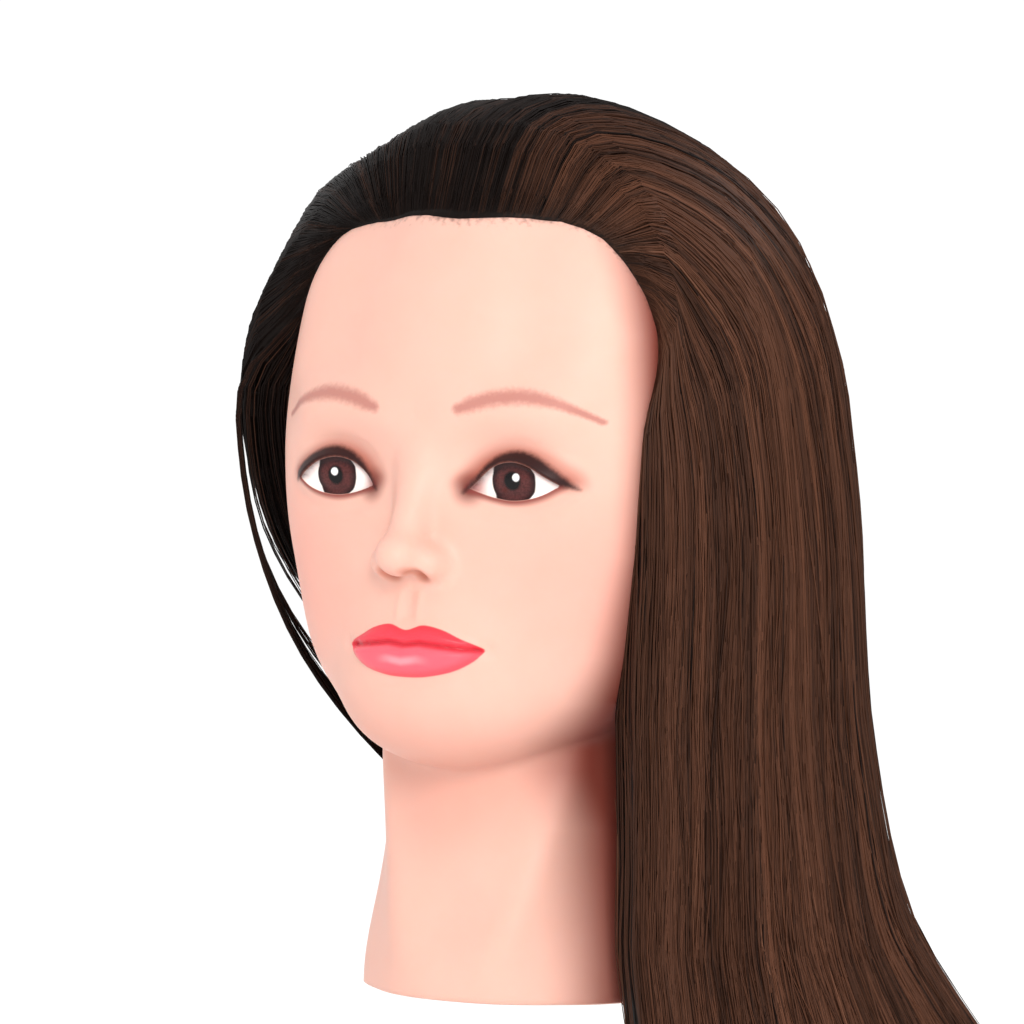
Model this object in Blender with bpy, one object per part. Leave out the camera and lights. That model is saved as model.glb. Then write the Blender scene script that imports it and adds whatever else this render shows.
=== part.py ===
"""A hairdresser's training head: a soft skin over a foam core, on a base plate with a clamp socket.

Metres, +Z up. The face looks along -Y and the head's own left is +X. The origin is the centre of the
clamp socket's mouth, in the plane of the neck's lower edge. The shape tables below are in millimetres.
"""

import math

import bpy
import numpy as np

MM = 0.001

# Skin, foam and backing
SKIN_WALL = 4.5
FOAM_GAP = 0.8
BACKING_GAP = 0.4
BACKING_WALL = 1.2
COLUMNS = 32
SCALP_ROWS = 7
FACE_ROWS = 30
NECK_ROWS = 7
INNER_FACE_ROWS = 10
INNER_NECK_ROWS = 4
RAY_ORIGIN_HEIGHT = 170.0
LOWEST_RAY = math.radians(-62.0)
HAIRLINE_FRONT = math.radians(57.0)
HAIRLINE_BACK = math.radians(-30.0)

# Neck and base
NECK_RADIUS = 50.0
NECK_FLARE = 7.0
NECK_FLARE_HEIGHT = 36.0
PLATE_RADIUS = 51.4
PLATE_THICKNESS = 5.0
SOCKET_BORE_RADIUS = 11.0
SOCKET_WALL = 3.6
SOCKET_DEPTH = 88.0
SOCKET_CAP = 3.0
FLANGE_RADIUS = 31.0
FLANGE_THICKNESS = 4.0
FIT_GAP = 0.3
SCREW_CIRCLE_RADIUS = 23.0
SCREW_COUNT = 4
SCREW_SHANK_RADIUS = 1.8
SCREW_HEAD_RADIUS = 3.6
SCREW_HEAD_HEIGHT = 2.2
SCREW_LENGTH = 15.0
SCREW_HEAD_RECESS = 2.8

# Hair
HAIR_SKIN_GAP = 3.2
HAIR_THICKNESS = 24.0
HAIR_TIP_THICKNESS = 9.0
HAIR_LAYER_GAP = 1.6
LOCK_GAP = 0.045
LOCK_COLUMNS = 3
LOCK_ROWS = 21
UNDER_FIRST_ROW = 8
# The hair's depth is measured towards this axis: its X, its Y and the height that it ends at.
HAIR_AXIS_X = 4.0
HAIR_AXIS_Y = 14.0
HAIR_AXIS_TOP = 205.0
# How far the hair leans along the direction, at each height: its left half, then its right half.
LEAN_DIRECTION = (0.866, 0.5)
LEAN = (
    (-110, 14, 0), (-40, 10, 0), (-10, 5, 0), (20, -1, 0), (60, -3, 0), (100, -6, 0), (150, -7, 0),
    (200, -10, -2), (215, -10, -3), (250, -11, -8), (280, -12, -12), (300, -13, -10), (316, -15, -12),
)

# The outer surface of the combed hair: one guide for each lock's edge, from the left temple over the
# forehead to the right temple. Each runs from the hairline to the tip: x, y, z in millimetres.
HAIR_GUIDES = (
    ((72, -41, 233), (80, -47, 205), (80, -52, 170), (77, -53, 120), (75, -52, 60), (72, -51, 0),
     (71, -52, -60), (71, -54, -108)),
    ((65, -49, 251), (83, -39, 242), (97, -30, 210), (101, -30, 165), (100, -32, 110), (98, -33, 50),
     (97, -35, -10), (98, -39, -70), (101, -43, -106)),
    ((51, -51, 264), (70, -23, 276), (96, -4, 252), (109, 1, 214), (112, 4, 165), (112, 6, 110),
     (113, 9, 55), (118, 13, 5), (128, 20, -45), (138, 26, -82)),
    ((32, -55, 270), (46, -22, 299), (76, 14, 288), (101, 34, 250), (108, 46, 205), (109, 52, 150),
     (110, 57, 95), (115, 63, 40), (129, 74, -5), (149, 88, -48)),
    ((13, -62, 271), (18, -32, 303), (32, 14, 315), (58, 62, 292), (76, 88, 240), (81, 98, 190),
     (81, 102, 130), (83, 106, 75), (90, 112, 25), (104, 123, -18), (122, 136, -56)),
    ((-6, -62, 270), (-6, -32, 303), (0, 16, 316), (8, 72, 303), (22, 108, 255), (34, 118, 200),
     (42, 118, 140), (48, 117, 80), (56, 119, 20), (66, 124, -30), (78, 131, -74)),
    ((-22, -59, 271), (-28, -26, 301), (-33, 20, 310), (-34, 72, 291), (-23, 107, 245),
     (-6, 118, 190), (8, 119, 135), (18, 118, 80), (26, 118, 25), (34, 120, -30), (42, 125, -82)),
    ((-46, -54, 267), (-64, -23, 281), (-84, 8, 272), (-92, 46, 240), (-78, 86, 200),
     (-54, 107, 150), (-32, 115, 100), (-12, 117, 50), (2, 117, 0), (10, 118, -45), (15, 121, -88)),
    ((-64, -51, 253), (-84, -39, 246), (-99, -22, 220), (-104, 10, 186), (-97, 46, 148),
     (-76, 78, 105), (-50, 100, 62), (-28, 110, 25), (-14, 115, -15), (-6, 119, -80)),
    ((-72, -43, 234), (-90, -48, 213), (-98, -39, 186), (-99, -27, 150), (-93, -10, 115),
     (-82, 14, 84), (-69, 52, 53), (-52, 86, 26), (-38, 105, 0), (-26, 114, -24), (-20, 118, -68)),
)
LOCK_NAMES = (
    "hair_left_temple", "hair_left_side", "hair_left_front", "hair_top_left", "hair_top_centre",
    "hair_top_right", "hair_right_front", "hair_right_side", "hair_right_temple",
)
# Each hair layer beneath the combed one: its name and the guides that it lies between.
UNDER_LAYERS = (
    ("hair_under_left_side", 0, 2), ("hair_under_left_back", 2, 4), ("hair_nape_left", 4, 5),
    ("hair_nape_right", 5, 7), ("hair_under_right_side", 7, 9),
)

# Colour, roughness and metallic value of each material
MATERIALS = {
    "skin_vinyl": ((0.86, 0.56, 0.44, 1.0), 0.5, 0.0),
    "core_foam": ((0.80, 0.72, 0.52, 1.0), 0.9, 0.0),
    "backing_latex": ((0.62, 0.50, 0.38, 1.0), 0.7, 0.0),
    "base_plastic": ((0.05, 0.05, 0.05, 1.0), 0.45, 0.0),
    "socket_plastic": ((0.11, 0.11, 0.12, 1.0), 0.4, 0.0),
    "screw_steel": ((0.62, 0.62, 0.64, 1.0), 0.3, 1.0),
    "hair_fibre": ((0.045, 0.027, 0.02, 1.0), 0.38, 0.0),
}


def clear_scene():
    for item in list(bpy.data.objects):
        bpy.data.objects.remove(item, do_unlink=True)


def material(name):
    found = bpy.data.materials.get(name)
    if found:
        return found
    colour, roughness, metallic = MATERIALS[name]
    made = bpy.data.materials.new(name)
    made.use_nodes = True
    shader = made.node_tree.nodes["Principled BSDF"]
    shader.inputs["Base Color"].default_value = colour
    shader.inputs["Roughness"].default_value = roughness
    shader.inputs["Metallic"].default_value = metallic
    return made


def add_object(name, points, faces, material_name, smooth_angle=40.0):
    """An object from points in millimetres and faces whose normals point out."""
    mesh = bpy.data.meshes.new(name)
    mesh.from_pydata([tuple(p) for p in np.asarray(points) * MM], [], faces)
    mesh.validate()
    mesh.shade_smooth()
    mesh.set_sharp_from_angle(angle=math.radians(smooth_angle))
    item = bpy.data.objects.new(name, mesh)
    bpy.context.scene.collection.objects.link(item)
    mesh.materials.append(material(material_name))
    return item


# ---- the head's shape: a field that is negative inside, in millimetres ----


def ellipsoid(points, centre, radii):
    local = (points - np.array(centre, float)) / np.array(radii, float)
    near = np.linalg.norm(local, axis=-1)
    slope = np.linalg.norm(local / np.array(radii, float), axis=-1)
    return near * (near - 1.0) / np.maximum(slope, 1e-9)


def rounded_box(points, centre, radii, power):
    """An ellipsoid with a fuller section: the higher the power, the nearer to a box."""
    local = np.abs(points - np.array(centre, float)) / np.array(radii, float)
    near = (local**power).sum(axis=-1) ** (1 / power)
    near = np.maximum(near, 1e-6)
    slope = near[..., None] ** (1 - power) * local ** (power - 1) / np.array(radii, float)
    return (near - 1.0) / np.maximum(np.linalg.norm(slope, axis=-1), 1e-9)


def capsule(points, start, end, start_radius, end_radius):
    start, end = np.array(start, float), np.array(end, float)
    along = np.clip((points - start) @ (end - start) / ((end - start) @ (end - start)), 0.0, 1.0)
    apart = np.linalg.norm(points - start - along[..., None] * (end - start), axis=-1)
    return apart - (start_radius + (end_radius - start_radius) * along)


def join(a, b, softness):
    share = np.clip(0.5 + 0.5 * (b - a) / softness, 0.0, 1.0)
    return b + (a - b) * share - softness * share * (1.0 - share)


def carve(a, b, softness):
    return -join(-a, b, softness)


def neck_field(points):
    height = points[..., 2]
    radius = NECK_RADIUS + NECK_FLARE * np.exp(-((height / NECK_FLARE_HEIGHT) ** 2))
    apart = np.hypot(points[..., 0], points[..., 1])
    return np.maximum(apart - radius, height - 150.0)


def skull_field(points, mirrored):
    field = ellipsoid(points, (0, 12, 216), (74, 92, 88))
    field = join(field, ellipsoid(points, (0, -20, 172), (62, 60, 80)), 20)
    field = join(field, ellipsoid(mirrored, (44, -34, 226), (28, 28, 42)), 14)
    field = join(field, ellipsoid(mirrored, (45, -39, 182), (28, 28, 44)), 20)
    field = join(field, rounded_box(points, (0, -24, 150), (70, 54, 68), 2.4), 12)
    return join(field, ellipsoid(points, (0, -58, 104), (34, 24, 22)), 20)


def mirror_of(points):
    """The points with X made positive, so that one shape stands for a pair."""
    mirrored = points.copy()
    mirrored[..., 0] = np.abs(mirrored[..., 0])
    return mirrored


def plain_field(points, mirrored):
    """The skull and neck with no features, which the shells inside the skin follow."""
    return join(skull_field(points, mirrored), neck_field(points), 6)


def ear_field(mirrored):
    shell = ellipsoid(mirrored, (77, 11, 180), (9, 17, 29))
    return carve(shell, ellipsoid(mirrored, (87, 6, 181), (7, 9, 15)), 4)


def nose_field(points, mirrored):
    field = capsule(points, (0, -74, 196), (0, -88, 156), 6.0, 7.5)
    field = join(field, ellipsoid(points, (0, -91, 153), (9, 9, 8)), 5)
    return join(field, ellipsoid(mirrored, (10.5, -84, 151), (7, 9, 7)), 4)


def head_field(points):
    """Below zero inside the head and neck. Near the surface it is close to the distance from it."""
    mirrored = mirror_of(points)
    field = plain_field(points, mirrored)
    field = join(field, ellipsoid(mirrored, (26, -66, 203), (25, 12, 9)), 14)
    field = join(field, ellipsoid(points, (0, -61, 126), (28, 22, 24)), 16)
    field = carve(field, ellipsoid(mirrored, (35, -90, 184), (23, 14, 13)), 12)
    field = join(field, ellipsoid(mirrored, (36, -59, 181), (22, 19.5, 14)), 3)
    field = join(field, ear_field(mirrored), 5)
    field = join(field, nose_field(points, mirrored), 6)
    field = join(field, ellipsoid(mirrored, (9, -80.5, 129), (17, 8, 4.6)), 4)
    return join(field, ellipsoid(points, (0, -80, 119.6), (20, 9, 6.0)), 4)


# ---- the grid of rays that every shell of the head shares ----


def column_angles():
    """Angles about +Z from -Y, closer together over the face."""
    turn = np.linspace(-math.pi, math.pi, COLUMNS, endpoint=False)
    return turn - 0.42 * np.sin(turn)


def ray_rows(angles, face_rows, neck_rows):
    """How far down each ray lies: 0 at the crown, 1 at the lowest fixed ray, 2 at the neck's edge."""
    towards_back = 0.5 - 0.5 * np.cos(angles)
    edge = HAIRLINE_FRONT + (HAIRLINE_BACK - HAIRLINE_FRONT) * towards_back
    hairline = (math.pi / 2 - edge) / (math.pi / 2 - LOWEST_RAY)
    scalp = [hairline * (row / SCALP_ROWS) for row in range(1, SCALP_ROWS + 1)]
    face = [hairline + (1 - hairline) * (row / face_rows) for row in range(1, face_rows + 1)]
    neck = [np.full(len(angles), 1 + row / neck_rows) for row in range(1, neck_rows + 1)]
    return np.array(scalp + face + neck)


def rays(angles, face_rows, neck_rows):
    """Each ray's start and direction, for every row and column."""
    down = ray_rows(angles, face_rows, neck_rows)
    fixed = math.pi / 2 - np.minimum(down, 1.0) * (math.pi / 2 - LOWEST_RAY)
    left = np.clip(2.0 - down, 0.0, 1.0)
    rise = np.where(down <= 1.0, fixed, np.arctan(math.tan(LOWEST_RAY) * left))
    start = np.zeros(down.shape + (3,))
    start[..., 2] = RAY_ORIGIN_HEIGHT * left
    towards = np.stack(
        [np.sin(angles) * np.cos(rise), -np.cos(angles) * np.cos(rise), np.sin(rise)], axis=-1
    )
    return start, towards


def hit(start, towards, depth):
    """Where each ray meets the skin's surface, or the plain surface this deep inside it."""
    near = np.zeros(start.shape[:-1])
    far = np.full(start.shape[:-1], 160.0)
    for _ in range(34):
        middle = (near + far) / 2
        points = start + towards * middle[..., None]
        if np.any(depth):
            inside = plain_field(points, mirror_of(points)) < -depth
        else:
            inside = head_field(points) < 0.0
        near = np.where(inside, middle, near)
        far = np.where(inside, far, middle)
    return start + towards * near[..., None]


def shell_points(depth, face_rows, neck_rows, rows=None):
    """The crown's point, then the grid of points on the surface at this depth, row by row."""
    angles = column_angles()
    start, towards = rays(angles, face_rows, neck_rows)
    if rows is not None:
        start, towards = start[:rows], towards[:rows]
    grid = hit(start, towards, depth)
    crown = hit(np.array([[0.0, 0.0, RAY_ORIGIN_HEIGHT]]), np.array([[0.0, 0.0, 1.0]]), depth)
    return crown[0], grid


def cap_faces(first, rows):
    """Triangles of a crown point and its rows, pointing out, cut the same way on every shell."""
    faces = []
    for column in range(COLUMNS):
        beside = (column + 1) % COLUMNS
        faces.append((first, first + 1 + column, first + 1 + beside))
        for row in range(rows - 1):
            top = first + 1 + row * COLUMNS
            under = top + COLUMNS
            faces.append((top + column, under + column, under + beside))
            faces.append((top + column, under + beside, top + beside))
    return faces


def turned(faces):
    return [tuple(reversed(face)) for face in faces]


def ring_faces(upper, lower):
    """Faces between two rings of point numbers, pointing out when upper lies above lower."""
    count = len(upper)
    return [
        (upper[i], lower[i], lower[(i + 1) % count], upper[(i + 1) % count]) for i in range(count)
    ]


def last_ring(first, rows):
    start = first + 1 + (rows - 1) * COLUMNS
    return list(range(start, start + COLUMNS))


def two_walls(outer, inner):
    """Points and faces of a cap with an outer and an inner wall, joined along its lower edge."""
    points, faces, rings = [], [], []
    for crown, grid in (outer, inner):
        first = len(points)
        rows = len(grid)
        points.append(crown)
        points.extend(grid.reshape(-1, 3))
        made = cap_faces(first, rows)
        faces += made if not rings else turned(made)
        rings.append(last_ring(first, rows))
    faces += ring_faces(rings[0], rings[1])
    return np.array(points), faces


def add_skin():
    outer = shell_points(0.0, FACE_ROWS, NECK_ROWS)
    inner = shell_points(SKIN_WALL, INNER_FACE_ROWS, INNER_NECK_ROWS)
    points, faces = two_walls(outer, inner)
    add_object("head_skin", points, faces, "skin_vinyl", 60.0)


def add_backing():
    depth = SKIN_WALL + BACKING_GAP
    outer = shell_points(depth, INNER_FACE_ROWS, INNER_NECK_ROWS, SCALP_ROWS)
    inner = shell_points(depth + BACKING_WALL, INNER_FACE_ROWS, INNER_NECK_ROWS, SCALP_ROWS)
    points, faces = two_walls(outer, inner)
    add_object("root_backing", points, faces, "backing_latex", 60.0)


def foam_grid():
    """The foam's outer surface: it steps in under the backing, and ends above the base plate."""
    angles = column_angles()
    start, towards = rays(angles, INNER_FACE_ROWS, INNER_NECK_ROWS)
    under_backing = SKIN_WALL + BACKING_GAP + BACKING_WALL + FOAM_GAP
    depth = np.full(start.shape[:-1], SKIN_WALL + FOAM_GAP)
    depth[: SCALP_ROWS + 1] = under_backing
    grid = hit(start, towards, depth)
    floor = PLATE_THICKNESS + FLANGE_THICKNESS + 2 * FIT_GAP
    rise = (PLATE_THICKNESS + FIT_GAP - grid[-1, :, 2]) / (grid[-2, :, 2] - grid[-1, :, 2])
    grid[-1] += (grid[-2] - grid[-1]) * rise[:, None]
    crown = hit(start[:1, 0], np.array([[0.0, 0.0, 1.0]]), under_backing)[0]
    return crown, grid, floor


def circle(radius, height, count, centre=(0.0, 0.0)):
    turn = np.arange(count) * 2 * math.pi / count
    return np.stack(
        [centre[0] + radius * np.sin(turn), centre[1] - radius * np.cos(turn), np.full(count, height)],
        axis=-1,
    )


def ring_at_columns(radius, height):
    angles = column_angles()
    return np.stack([radius * np.sin(angles), -radius * np.cos(angles), np.full(COLUMNS, height)], -1)


def add_foam():
    """The core, with a stepped bore for the socket's flange and tube, open at the bottom."""
    crown, grid, flange_top = foam_grid()
    points = [crown]
    points.extend(grid.reshape(-1, 3))
    faces = cap_faces(0, len(grid))
    ring = last_ring(0, len(grid))
    flange_bore = FLANGE_RADIUS + 1.0
    tube_bore = SOCKET_BORE_RADIUS + SOCKET_WALL + 0.5
    bore_top = SOCKET_DEPTH + SOCKET_CAP + 0.6
    for radius, height in (
        (flange_bore, PLATE_THICKNESS + FIT_GAP),
        (flange_bore, flange_top),
        (tube_bore, flange_top),
        (tube_bore, bore_top),
    ):
        first = len(points)
        points.extend(ring_at_columns(radius, height))
        inner = list(range(first, first + COLUMNS))
        faces += ring_faces(ring, inner)
        ring = inner
    faces.append(tuple(reversed(ring)))
    foam = add_object("foam_core", np.array(points), faces, "core_foam", 50.0)
    for place in screw_places():
        cut_cylinder(foam, place, SCREW_SHANK_RADIUS + 0.4, flange_top - 2, SCREW_LENGTH + 3)


# ---- the base: plate, clamp socket and screws ----


def lathe(name, profile, count, material_name):
    """A turned solid from (radius, height) points that run up the outside and down the inside."""
    points, faces, rings = [], [], []
    for radius, height in profile:
        if radius == 0:
            rings.append([len(points)] * count)
            points.append((0.0, 0.0, height))
            continue
        rings.append(list(range(len(points), len(points) + count)))
        points.extend(circle(radius, height, count))
    for lower, upper in zip(rings, rings[1:] + rings[:1]):
        for quad in ring_faces(upper, lower):
            corners = tuple(dict.fromkeys(quad))
            if len(corners) > 2:
                faces.append(corners)
    return add_object(name, np.array(points), faces, material_name, 35.0)


def cut_cylinder(target, place, radius, low, high, sides=16):
    """Cuts a hole with a hidden cylinder that runs between two heights."""
    lower = circle(radius, low, sides, place)
    upper = circle(radius, high, sides, place)
    points = np.concatenate([lower, upper])
    faces = ring_faces(list(range(sides, 2 * sides)), list(range(sides)))
    faces.append(tuple(range(sides, 2 * sides)))
    faces.append(tuple(reversed(range(sides))))
    cutter = add_object(target.name + "_cutter", points, faces, "base_plastic")
    cutter.hide_render = True
    cutter.display_type = "WIRE"
    cutter.hide_set(True)
    boolean = target.modifiers.new("hole", "BOOLEAN")
    boolean.operation = "DIFFERENCE"
    boolean.object = cutter


def screw_places():
    turns = [math.pi / 4 + 2 * math.pi * i / SCREW_COUNT for i in range(SCREW_COUNT)]
    return [(SCREW_CIRCLE_RADIUS * math.sin(t), -SCREW_CIRCLE_RADIUS * math.cos(t)) for t in turns]


def add_base_plate():
    hole = SOCKET_BORE_RADIUS + SOCKET_WALL + FIT_GAP
    edge = 0.8
    plate = lathe(
        "neck_base_plate",
        (
            (hole, 0.0),
            (PLATE_RADIUS - edge, 0.0),
            (PLATE_RADIUS, edge),
            (PLATE_RADIUS, PLATE_THICKNESS - edge),
            (PLATE_RADIUS - edge, PLATE_THICKNESS),
            (hole, PLATE_THICKNESS),
        ),
        48,
        "base_plastic",
    )
    for place in screw_places():
        cut_cylinder(plate, place, SCREW_SHANK_RADIUS + 0.4, -1.0, PLATE_THICKNESS + 1)
        cut_cylinder(plate, place, SCREW_HEAD_RADIUS + 0.4, -1.0, SCREW_HEAD_RECESS)


def add_clamp_socket():
    outside = SOCKET_BORE_RADIUS + SOCKET_WALL
    top = SOCKET_DEPTH + SOCKET_CAP
    low = PLATE_THICKNESS + FIT_GAP
    high = low + FLANGE_THICKNESS
    socket = lathe(
        "clamp_socket",
        (
            (SOCKET_BORE_RADIUS, 0.8),
            (SOCKET_BORE_RADIUS + 0.8, 0.0),
            (outside, 0.0),
            (outside, low),
            (FLANGE_RADIUS, low),
            (FLANGE_RADIUS, high),
            (outside, high),
            (outside, top - 1.5),
            (outside - 1.5, top),
            (0, top),
            (0, SOCKET_DEPTH),
            (SOCKET_BORE_RADIUS, SOCKET_DEPTH),
        ),
        40,
        "socket_plastic",
    )
    for place in screw_places():
        cut_cylinder(socket, place, SCREW_SHANK_RADIUS + 0.4, low - 1, high + 1)


def add_screws():
    head_low = 0.3
    head_high = head_low + SCREW_HEAD_HEIGHT
    for number, place in enumerate(screw_places(), 1):
        screw = lathe(
            f"base_screw_{number}",
            (
                (0, head_low),
                (SCREW_HEAD_RADIUS - 0.6, head_low),
                (SCREW_HEAD_RADIUS, head_low + 0.6),
                (SCREW_HEAD_RADIUS, head_high),
                (SCREW_SHANK_RADIUS, head_high),
                (SCREW_SHANK_RADIUS, SCREW_LENGTH - 1.5),
                (0.5, SCREW_LENGTH),
                (0, SCREW_LENGTH),
            ),
            16,
            "screw_steel",
        )
        screw.location = (place[0] * MM, place[1] * MM, 0.0)
        cut_drive_slot(screw)


def cut_drive_slot(screw):
    """A cross recess in the screw's head, cut by two hidden bars."""
    for number in range(2):
        half = np.array([2.1, 0.4, 1.1])
        if number:
            half = half[[1, 0, 2]]
        signs = np.array([(x, y, z) for z in (-1, 1) for x, y in ((-1, -1), (1, -1), (1, 1), (-1, 1))])
        points = signs * half + np.array([0.0, 0.0, 0.35])
        faces = [(3, 2, 1, 0), (4, 5, 6, 7)]
        faces += [(i, (i + 1) % 4, 4 + (i + 1) % 4, 4 + i) for i in range(4)]
        bar = add_object(f"{screw.name}_recess_{number}", points, faces, "screw_steel")
        bar.location = screw.location
        bar.hide_render = True
        bar.display_type = "WIRE"
        bar.hide_set(True)
        boolean = screw.modifiers.new("recess", "BOOLEAN")
        boolean.operation = "DIFFERENCE"
        boolean.object = bar


# ---- hair: one combed sheet over the head, made of locks, with the layers beneath it ----


def smooth_curve(points, samples):
    """A Catmull-Rom curve through points, read at equal steps of its length."""
    points = np.asarray(points, float)
    padded = np.concatenate([[2 * points[0] - points[1]], points, [2 * points[-1] - points[-2]]])
    dense = []
    for i in range(1, len(padded) - 2):
        t = np.linspace(0.0, 1.0, 16, endpoint=False)[:, None]
        a, b, c, d = padded[i - 1 : i + 3]
        dense.append(
            0.5 * (2 * b + (c - a) * t + (2 * a - 5 * b + 4 * c - d) * t**2
                   + (3 * b - a - 3 * c + d) * t**3)
        )
    dense.append(points[-1:])
    dense = np.concatenate(dense)
    run = np.concatenate([[0.0], np.cumsum(np.linalg.norm(np.diff(dense, axis=0), axis=1))])
    at = np.asarray(samples) * run[-1]
    return np.stack([np.interp(at, run, dense[:, axis]) for axis in range(3)], axis=-1)


def hair_outside(across, along):
    """The combed surface at guide numbers across and at shares of the length along."""
    guides = np.stack([smooth_curve(guide, along) for guide in HAIR_GUIDES], axis=0)
    knots = np.linspace(0.0, 1.0, len(HAIR_GUIDES))
    rows = []
    for row in range(len(along)):
        line = guides[:, row]
        rows.append(
            np.stack([cubic_through(knots, line[:, axis], np.asarray(across) / (len(knots) - 1))
                      for axis in range(3)], axis=-1)
        )
    return leaned(np.array(rows), np.asarray(along)[:, None])


def leaned(points, along):
    """The hair set over sideways: towards the head's right above, and its left at the tips."""
    aside = points[..., 0] * LEAN_DIRECTION[0] + points[..., 1] * LEAN_DIRECTION[1]
    share = np.clip((aside + 20.0) / 80.0, 0.0, 1.0)
    share = share * share * (3 - 2 * share)
    table = np.array(LEAN)
    shift = (np.interp(points[..., 2], table[:, 0], table[:, 1]) * share
             + np.interp(points[..., 2], table[:, 0], table[:, 2]) * (1 - share))
    from_root = np.clip(np.asarray(along) / 0.12, 0.0, 1.0)
    shift = shift * from_root * from_root * (3 - 2 * from_root)
    moved = points.copy()
    moved[..., 0] += shift * LEAN_DIRECTION[0]
    moved[..., 1] += shift * LEAN_DIRECTION[1]
    moved[..., 2] -= 2.5 * from_root * np.clip((points[..., 2] - 260) / 50, 0, 1)
    return moved


def cubic_through(knots, values, at):
    """Catmull-Rom interpolation of one value at equal knots."""
    count = len(knots)
    place = np.clip(np.asarray(at) * (count - 1), 0, count - 1 - 1e-9)
    i = place.astype(int)
    t = place - i
    padded = np.concatenate([[2 * values[0] - values[1]], values, [2 * values[-1] - values[-2]]])
    a, b, c, d = padded[i], padded[i + 1], padded[i + 2], padded[i + 3]
    return 0.5 * (2 * b + (c - a) * t + (2 * a - 5 * b + 4 * c - d) * t**2
                  + (3 * b - a - 3 * c + d) * t**3)


def hair_depth(outside, along):
    """How far the hair reaches inwards: to the skin over the head, and to its thickness below."""
    target = np.empty(outside.shape)
    target[..., 0] = HAIR_AXIS_X
    target[..., 1] = HAIR_AXIS_Y
    target[..., 2] = np.minimum(outside[..., 2], HAIR_AXIS_TOP)
    inwards = target - outside
    inwards /= np.linalg.norm(inwards, axis=-1, keepdims=True)
    share = np.asarray(along)[:, None]
    taper = np.clip((share - 0.6) / 0.4, 0.0, 1.0)
    most = HAIR_THICKNESS + (HAIR_TIP_THICKNESS - HAIR_THICKNESS) * taper
    most = np.broadcast_to(most, outside.shape[:-1]).copy()
    depth = np.zeros(outside.shape[:-1])
    for _ in range(40):
        room = head_field(outside + inwards * depth[..., None]) - HAIR_SKIN_GAP
        depth = np.clip(depth + 0.8 * room, 0.0, most)
    return inwards, np.maximum(depth, 1.0)


def combed_share(along):
    """The combed layer takes all the depth near the hairline, and half of it further down."""
    share = np.clip((np.asarray(along) - 0.2) / 0.12, 0.0, 1.0)
    return 1.0 - 0.5 * share * share * (3 - 2 * share)


def slab(name, outer, inner):
    """A closed solid between two grids of points of the same shape."""
    rows, columns = outer.shape[:2]
    points = np.concatenate([outer.reshape(-1, 3), inner.reshape(-1, 3)])
    behind = rows * columns

    def at(row, column, side):
        return side * behind + row * columns + column

    faces = []
    for row in range(rows - 1):
        for column in range(columns - 1):
            quad = [(row, column), (row, column + 1), (row + 1, column + 1), (row + 1, column)]
            faces.append(tuple(at(*corner, 0) for corner in reversed(quad)))
            faces.append(tuple(at(*corner, 1) for corner in quad))
    edge = [(0, column) for column in range(columns)]
    edge += [(row, columns - 1) for row in range(1, rows)]
    edge += [(rows - 1, column) for column in range(columns - 2, -1, -1)]
    edge += [(row, 0) for row in range(rows - 2, 0, -1)]
    for one, two in zip(edge, edge[1:] + edge[:1]):
        faces.append((at(*one, 0), at(*two, 0), at(*two, 1), at(*one, 1)))
    return add_object(name, points, faces, "hair_fibre", 50.0)


def add_combed_locks():
    along = np.linspace(0.0, 1.0, LOCK_ROWS + 1)
    for number, name in enumerate(LOCK_NAMES):
        across = np.linspace(number + LOCK_GAP, number + 1 - LOCK_GAP, LOCK_COLUMNS + 1)
        outside = hair_outside(across, along)
        inwards, depth = hair_depth(outside, along)
        depth = depth * combed_share(along)[:, None]
        slab(name, outside, outside + inwards * depth[..., None])


def add_under_layers():
    along = np.linspace(0.0, 1.0, LOCK_ROWS + 1)[UNDER_FIRST_ROW:-1]
    for name, first, last in UNDER_LAYERS:
        columns = LOCK_COLUMNS * (last - first)
        across = np.linspace(first + 2 * LOCK_GAP, last - 2 * LOCK_GAP, columns + 1)
        outside = hair_outside(across, along)
        inwards, depth = hair_depth(outside, along)
        start = depth * combed_share(along)[:, None] + HAIR_LAYER_GAP
        end = np.maximum(depth, start + 1.0)
        slab(name, outside + inwards * start[..., None], outside + inwards * end[..., None])


clear_scene()
add_skin()
add_backing()
add_foam()
add_base_plate()
add_clamp_socket()
add_screws()
add_combed_locks()
add_under_layers()
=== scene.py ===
"""The looks of the training head: skin, painted face, hair and studio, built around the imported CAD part.

Metres and +Z up, as in the CAD part. Shape tables are in millimetres and angles in degrees.
"""

import math

import bpy
import numpy as np
from mathutils import Matrix, Vector


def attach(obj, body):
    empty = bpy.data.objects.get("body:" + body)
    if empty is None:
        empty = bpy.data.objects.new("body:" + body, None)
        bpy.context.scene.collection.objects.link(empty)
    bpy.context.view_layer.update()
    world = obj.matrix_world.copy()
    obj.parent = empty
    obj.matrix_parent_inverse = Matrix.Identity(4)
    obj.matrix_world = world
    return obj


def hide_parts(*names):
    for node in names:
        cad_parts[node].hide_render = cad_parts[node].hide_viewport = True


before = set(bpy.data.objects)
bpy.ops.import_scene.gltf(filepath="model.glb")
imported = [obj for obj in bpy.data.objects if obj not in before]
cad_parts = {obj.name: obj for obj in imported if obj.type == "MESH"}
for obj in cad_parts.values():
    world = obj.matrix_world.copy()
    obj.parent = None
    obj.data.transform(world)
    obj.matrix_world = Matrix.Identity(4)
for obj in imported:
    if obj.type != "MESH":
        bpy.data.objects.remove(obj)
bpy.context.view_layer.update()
MM = 0.001


# ---- tools for curves and grids ----


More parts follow.
